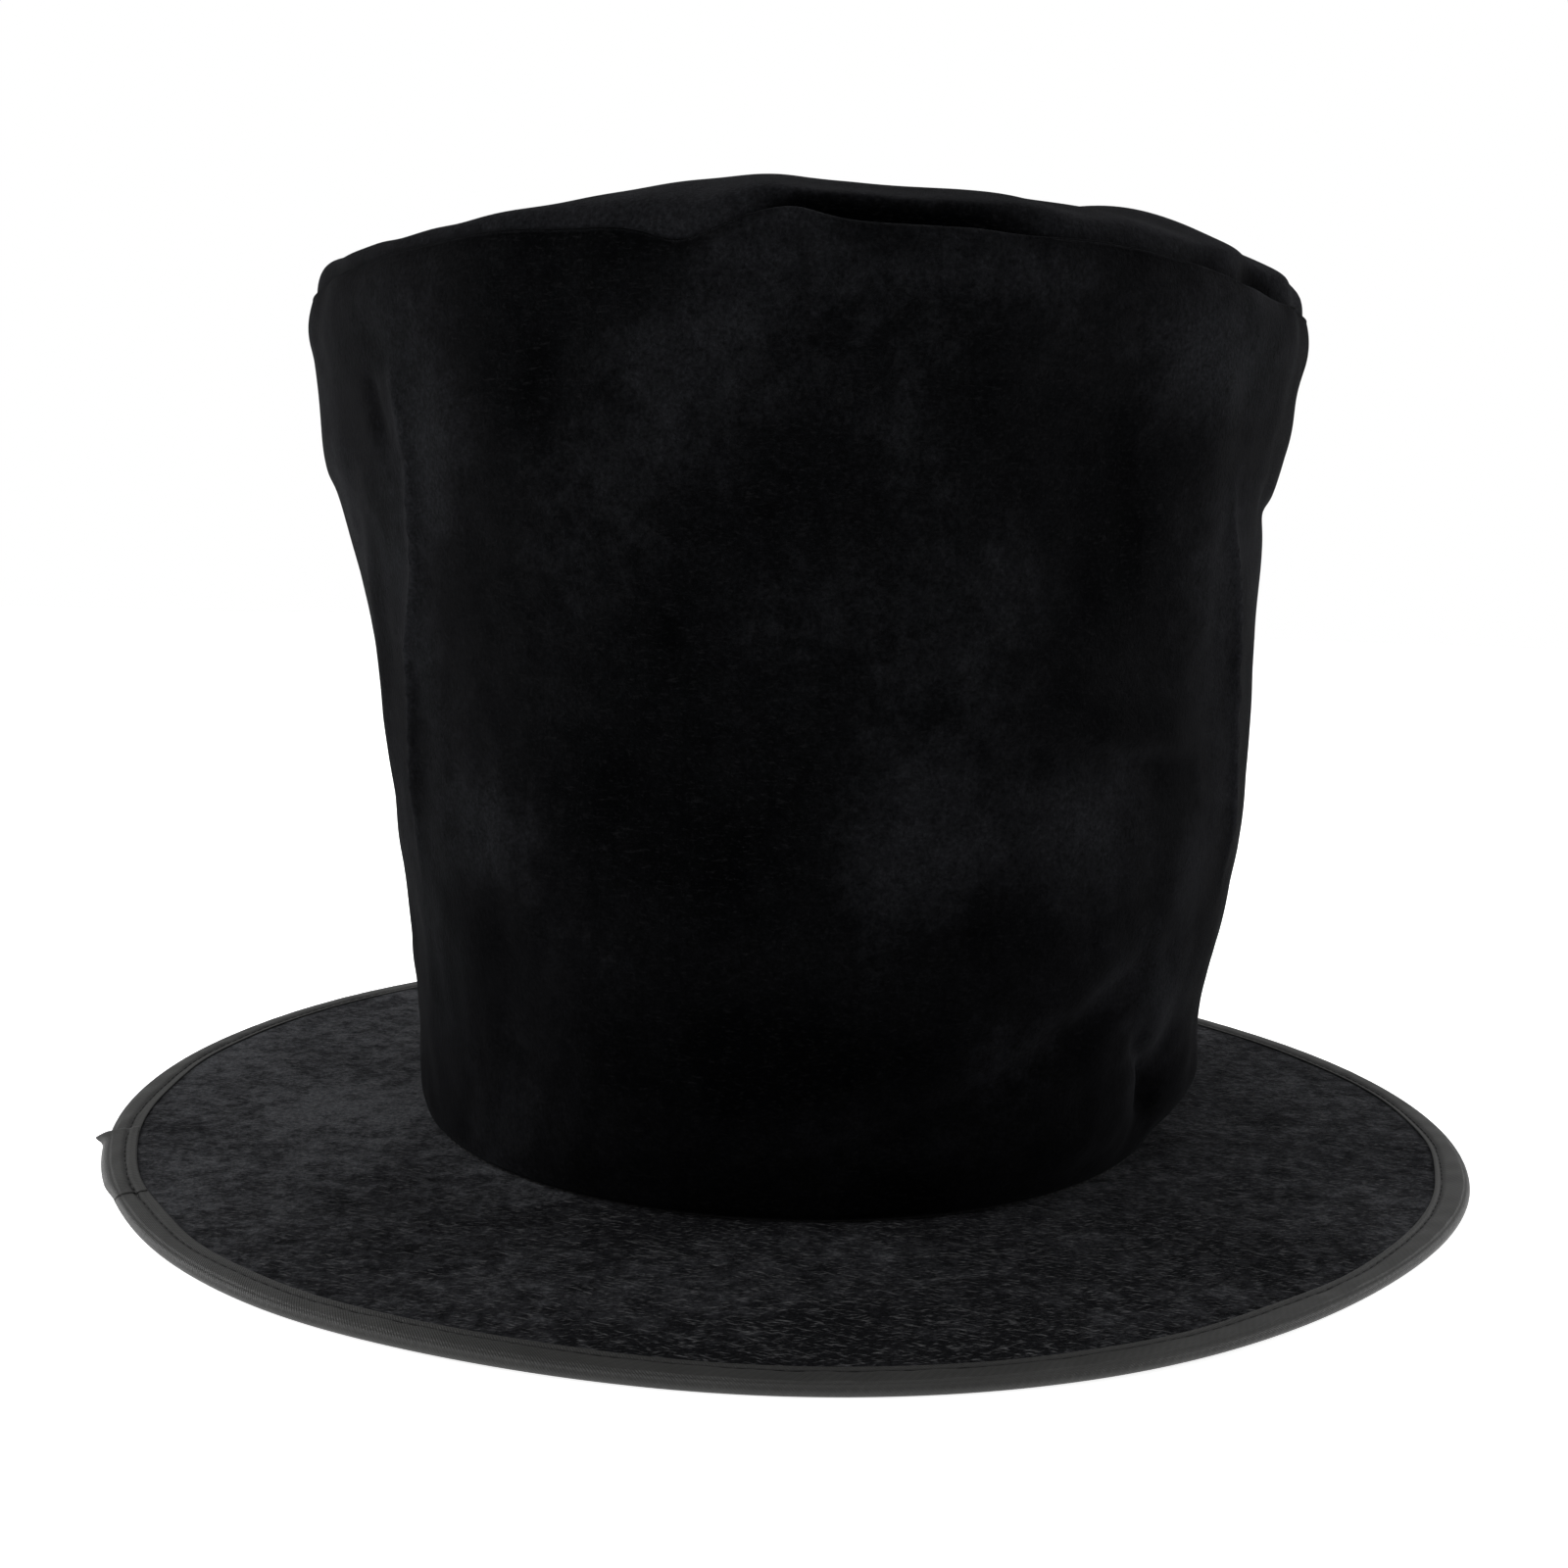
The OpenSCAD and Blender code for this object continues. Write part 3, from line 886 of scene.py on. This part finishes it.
def tape_groove_shade(angle, radius):
    """Painted shade: darker in the stitched groove."""
    return -2.0 * spread(radius - radius[:, :1] - ridge(angle), 0.6 * MM)


def tape_piece(name, angle, radius, height, slant=0.0):
    """A length of the tape, with its thickness inside the fold."""
    grid = brim_points(angle + slant, radius, height)
    # The grid's normals point out of the fold where its angles go down, and into it where they go up.
    inner = behind(grid, BINDING_T if angle[0] > angle[-1] else -BINDING_T, False)
    piece = closed_mesh(name, grid, inner, False, tape_cloth(angle, grid), tape_groove_shade(angle, radius))
    return finish_piece(piece, "brim_binding", BINDING)


def binding():
    """The tape all the way round, with a slit between its ends that the lap covers."""
    angle = np.linspace(LAP_START + 360, LAP_START + 0.05, 1500)[:, None]
    return tape_piece("brim_binding_tape", angle, *tape_section(angle))


def binding_lap():
    """The tape's upper end, lapped over the lower, cut on the slant, with a pointed tail past the edge."""
    angle = np.linspace(LAP_START, LAP_START + LAP_ANGLE, 60)[:, None]
    radius, height = (grid[:, LAP_ROWS] for grid in tape_section(angle, 1.3 * BINDING_T))
    near_cut = spread(angle - LAP_START, 0.9)
    far = np.linspace(0, 1, radius.shape[1])[None, :]
    wide = smooth((angle - LAP_START) / 1.5) * smooth((LAP_START + LAP_ANGLE - angle) / 4)
    radius = radius + far ** 5 * MM * (TAIL * near_cut + 0.9 * wide)
    height = height + MM * (near_cut * (0.2 + 0.4 * far ** 4) - 0.15 * (1 - wide) * (1 - near_cut))
    slant = -near_cut * (1 - far) * 1.2
    return tape_piece("binding_lap", angle, radius, height, slant)


# -------------------------------- inside the crown

BAND_T = 1.0 * MM
# The sweatband's stitches lie in a groove at this height.
BAND_STITCH_Z = 3 * MM
# The label's middle is at the back seam. It spans an angle, has a thickness, and hangs off the lining.
LABEL_SPAN = 24
LABEL_T = 0.25 * MM
LABEL_OFF = 0.15 * MM


def sweatband():
    """A ribbed band round the head opening, stitched at its foot, with its top edge a little wavy."""
    low, high = low_z("sweatband"), high_z("sweatband")
    angle = np.linspace(-179.9, 179.9, 420)[:, None]
    t = np.linspace(0, 1, 26)[None, :]
    height = low + (high - low) * t
    wave = 0.3 * MM * crumple(angle, 0 * t, 40 * MM, 61) * t ** 2
    groove = 0.35 * MM * spread(height - BAND_STITCH_Z, 0.5 * MM)
    face = brim_points(angle, BAND_R - BAND_T + groove + np.abs(wave) * 0.4, height + wave * 0.6)
    back = brim_points(angle, BAND_R, height + wave * 0.6)
    cloth = on_cloth(np.radians(angle) * BAND_R, height)
    piece = closed_mesh("sweatband_ribbon", back, face, False, cloth)
    return finish_piece(piece, "sweatband", SWEATBAND)


def care_label():
    """A blank label sewn to the lining at its two ends, with its lower edge standing off a little."""
    low, high = low_z("care_label"), high_z("care_label")
    share = np.linspace(0, 1, 50)[:, None]
    angle = 180 + LABEL_SPAN * (share - 0.5)
    t = np.linspace(0, 1, 20)[None, :]
    height = low + (high - low) * t
    sag = 0.5 * MM * np.sin(math.pi * share) * (1.2 - t)
    outer = wall(angle, height, WALL_T + LABEL_OFF + sag)
    inner = wall(angle, height, WALL_T + LABEL_OFF + LABEL_T + sag)
    cloth = on_cloth(np.radians(angle) * BASE_R, height)
    piece = closed_mesh("care_label_blank", outer, inner, False, cloth)
    return finish_piece(piece, "care_label", LABEL)


# -------------------------------- stitches


def ring_runs(count, half_angle, points_at):
    """Short threads round a ring: points_at gives a thread's points from its angles."""
    middles = -180 + (np.arange(count) + 0.5) * 360 / count
    return [points_at(middle + half_angle * np.linspace(-1, 1, 5)) for middle in middles]


def stitches(name, node, runs, material=THREAD):
    finish_piece(tube_mesh(name, runs, THREAD_R), node, material)


def binding_thread(angles):
    """A thread in the tape's groove, or in the lap's, whose ends go down into the tape."""
    angle = angles[:, None]
    radius, height = tape_section(angle)
    at = np.argmin(np.abs(radius[0] - (radius[0, 0] + ridge(angle[0, 0]))))
    on_lap = (angles > LAP_START - 1) & (angles < LAP_START + LAP_ANGLE + 1)
    z = height[:, at] + np.where(on_lap, 1.4 * BINDING_T, 0)
    z = z + 0.04 * MM * (1 - np.linspace(-1, 1, len(angles)) ** 2)
    return brim_points(angle, radius[:, at:at + 1], z[:, None])[:, 0]


def tip_thread(angles):
    """A thread down in the tip seam, behind the panel's lip."""
    edge = wall(angles[:, None], np.full((1, 1), PANEL_TOP))[:, 0]
    inward = 1 - 2.1 * lip_size(angles) / np.hypot(edge[:, 0], edge[:, 1])
    return np.stack([edge[:, 0] * inward, edge[:, 1] * inward, edge[:, 2] - 1.2 * MM], axis=1)


def foot_thread(angles):
    """A thread on the brim, under the panel's turned-in foot."""
    return brim_points(angles, BASE_R - 1.0 * MM, BRIM_TOP + THREAD_R)


def band_thread(angles):
    """A thread in the sweatband's groove."""
    return brim_points(angles, BAND_R - 0.85 * MM, BAND_STITCH_Z)


def upright_runs(angle, low, high, pitch, length, inset):
    """Short threads one above the other on the wall."""
    starts = np.arange(low, high, pitch)
    return [wall(np.full(5, float(angle)), z + np.linspace(0, length, 5), inset) for z in starts]


def label_runs():
    """The two rows that hold the label's ends."""
    low, high = low_z("care_label") + 1.5 * MM, high_z("care_label") - 2.5 * MM
    runs = []
    for side in (-1, 1):
        angle = 180 + side * (LABEL_SPAN / 2 - 1)
        runs += upright_runs(angle, low, high, 3 * MM, 2 * MM, WALL_T + 0.6 * MM)
    return runs


# -------------------------------- the hat

side_velour, side_cut, side_area = crown_side()
# The layers behind are set in a little further than the CAD model's, and the foam is thinner, to stay clear.
side_in, tip_in, thinner = 0.1 * MM, 0.4 * MM, 0.2 * MM
behind_tip = {"steps": 300, "rings": 50, "dip": 0.5 * MM}
side_foam = crown_layer("crown_side_padding", "crown_side_foam", FOAM,
                        FOAM_IN + side_in, FOAM_T - side_in - thinner, steps=360, rows=90)
side_lining = crown_layer("crown_side_lining_cloth", "crown_side_lining", LINING,
                          LINING_IN, LINING_T, steps=360, rows=90)
tip_velour = crown_tip("crown_tip_velour_cloth", "crown_tip_velour", "crown_velour", CROWN_VELOUR,
                       0, VELOUR_T, steps=560, rings=90, dip=SEAM_DEPTH)
tip_foam = crown_tip("crown_tip_padding", "crown_tip_foam", "foam", FOAM,
                     FOAM_IN + tip_in, FOAM_T - tip_in - thinner, **behind_tip)
tip_lining = crown_tip("crown_tip_lining_cloth", "crown_tip_lining", "lining", LINING,
                       LINING_IN + tip_in, LINING_T, **behind_tip)
brim_velour = ring_sheet("brim_top_cloth", "brim_top_velour", BRIM_VELOUR,
                         low_z("brim_top_velour"), BRIM_TOP, relief=0.1 * MM)
brim_under = ring_sheet("brim_under_cloth", "brim_under_cover", UNDER_COVER,
                        high_z("brim_under_cover"), low_z("brim_under_cover"))
tape = binding()
binding_lap()
band = sweatband()
label = care_label()

back_seam_runs = upright_runs(180, BRIM_TOP + 2 * MM, SEAM_Z - 8 * MM, 3.2 * MM, 2.4 * MM, -0.1 * MM)
stitches("tip_seam_thread", "tip_seam_stitches", ring_runs(196, 0.65, tip_thread))
stitches("back_seam_thread", "back_seam_stitches", back_seam_runs)
stitches("crown_base_thread", "crown_base_stitches", ring_runs(180, 0.75, foot_thread))
stitches("binding_thread", "binding_stitches", ring_runs(320, 0.42, binding_thread))
stitches("sweatband_thread", "sweatband_stitches", ring_runs(180, 0.75, band_thread))
stitches("label_thread_runs", "label_stitches", label_runs(), LABEL_THREAD)

ring_sheet("brim_stiffener", "brim_board", BOARD, low_z("brim_board"), high_z("brim_board"))

# The wire goes round the brim's edge from one end to the other, which meet in the crimp at the back.
wire_t = high_z("brim_edge_wire") - EDGE_T / 2
wire_end = 0.6
hoop = np.linspace(180 + wire_end, 540 - wire_end, 361)
hoop_points = brim_points(hoop, outer_radius("brim_edge_wire") - wire_t, EDGE_T / 2)
wire = tube_mesh("brim_wire_hoop", [hoop_points], wire_t, 12)
finish_piece(wire, "brim_edge_wire", STEEL)
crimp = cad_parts["wire_sleeve"]
crimp.data.materials.clear()
crimp.data.materials.append(STEEL)

# -------------------------------- floor, light and camera

# The camera, fitted to the brim's outline in the photograph. Its place is in brim radii.
CAMERA_AT = (-0.021, -2.6, 0.79)
CAMERA_PITCH = 6.27
CAMERA_ROLL = 1.6
CAMERA_LENS = 38.8
SENSOR_W = 36


def floor():
    """A wide pale floor, a hair below the hat."""
    mesh = bpy.data.meshes.new("floor")
    bm = bmesh.new()
    bmesh.ops.create_circle(bm, cap_ends=True, segments=96, radius=8)
    bmesh.ops.translate(bm, verts=bm.verts, vec=(0, 0, -0.05 * MM))
    bm.to_mesh(mesh)
    bm.free()
    pale = Nodes("floor", 0.85, Specular_IOR_Level=0.1, Base_Color=(0.92, 0.92, 0.92, 1),
                 Emission_Color=(1, 1, 1, 1), Emission_Strength=0.85)
    mesh.materials.append(pale.material)
    ground = bpy.data.objects.new("floor", mesh)
    bpy.context.scene.collection.objects.link(ground)


def studio_air(seen, lit):
    """A plain world: how bright it looks behind the hat, and how much light it gives."""
    world = bpy.data.worlds.new("studio")
    world.use_nodes = True
    nodes, links = world.node_tree.nodes, world.node_tree.links
    glow = nodes["Background"]
    glow.inputs["Color"].default_value = (1, 1, 1, 1)
    ray = nodes.new("ShaderNodeLightPath")
    pick = nodes.new("ShaderNodeMapRange")
    pick.inputs["To Min"].default_value = lit
    pick.inputs["To Max"].default_value = seen
    links.new(ray.outputs["Is Camera Ray"], pick.inputs["Value"])
    links.new(pick.outputs["Result"], glow.inputs["Strength"])
    bpy.context.scene.world = world


def soft_light(name, place, size, power):
    """A round lamp aimed at the hat's middle."""
    data = bpy.data.lights.new(name, "AREA")
    data.shape = "DISK"
    data.size = size
    data.energy = power
    light = bpy.data.objects.new(name, data)
    light.location = place
    aim = Vector((0, 0, SEAM_Z / 2)) - light.location
    light.rotation_euler = aim.to_track_quat("-Z", "Y").to_euler()
    bpy.context.scene.collection.objects.link(light)


def camera():
    """Low in front of the hat, looking slightly down and turned a little on its own axis."""
    pitch, roll = math.radians(CAMERA_PITCH), math.radians(CAMERA_ROLL)
    ahead = Vector((0, math.cos(pitch), -math.sin(pitch)))
    level = Vector((1, 0, 0))
    above = level.cross(ahead)
    right = level * math.cos(roll) + above * math.sin(roll)
    up = above * math.cos(roll) - level * math.sin(roll)
    data = bpy.data.cameras.new("camera")
    data.lens = CAMERA_LENS
    data.sensor_width = SENSOR_W
    data.clip_start = 0.01
    view = bpy.data.objects.new("camera", data)
    turn = Matrix((right, up, -ahead)).transposed().to_4x4()
    view.matrix_world = Matrix.Translation([share * BRIM_R for share in CAMERA_AT]) @ turn
    bpy.context.scene.collection.objects.link(view)
    bpy.context.scene.camera = view


floor()
studio_air(seen=1.0, lit=0.38)
soft_light("key", (-0.9, -0.7, 1.2), 0.8, 11)
soft_light("left_side", (-1.3, 0.35, 0.5), 0.7, 7)
soft_light("right_side", (1.3, 0.25, 0.6), 0.7, 8)
soft_light("top", (0.1, 0.4, 1.6), 1.0, 8)
camera()
bpy.context.scene.view_settings.view_transform = "Standard"
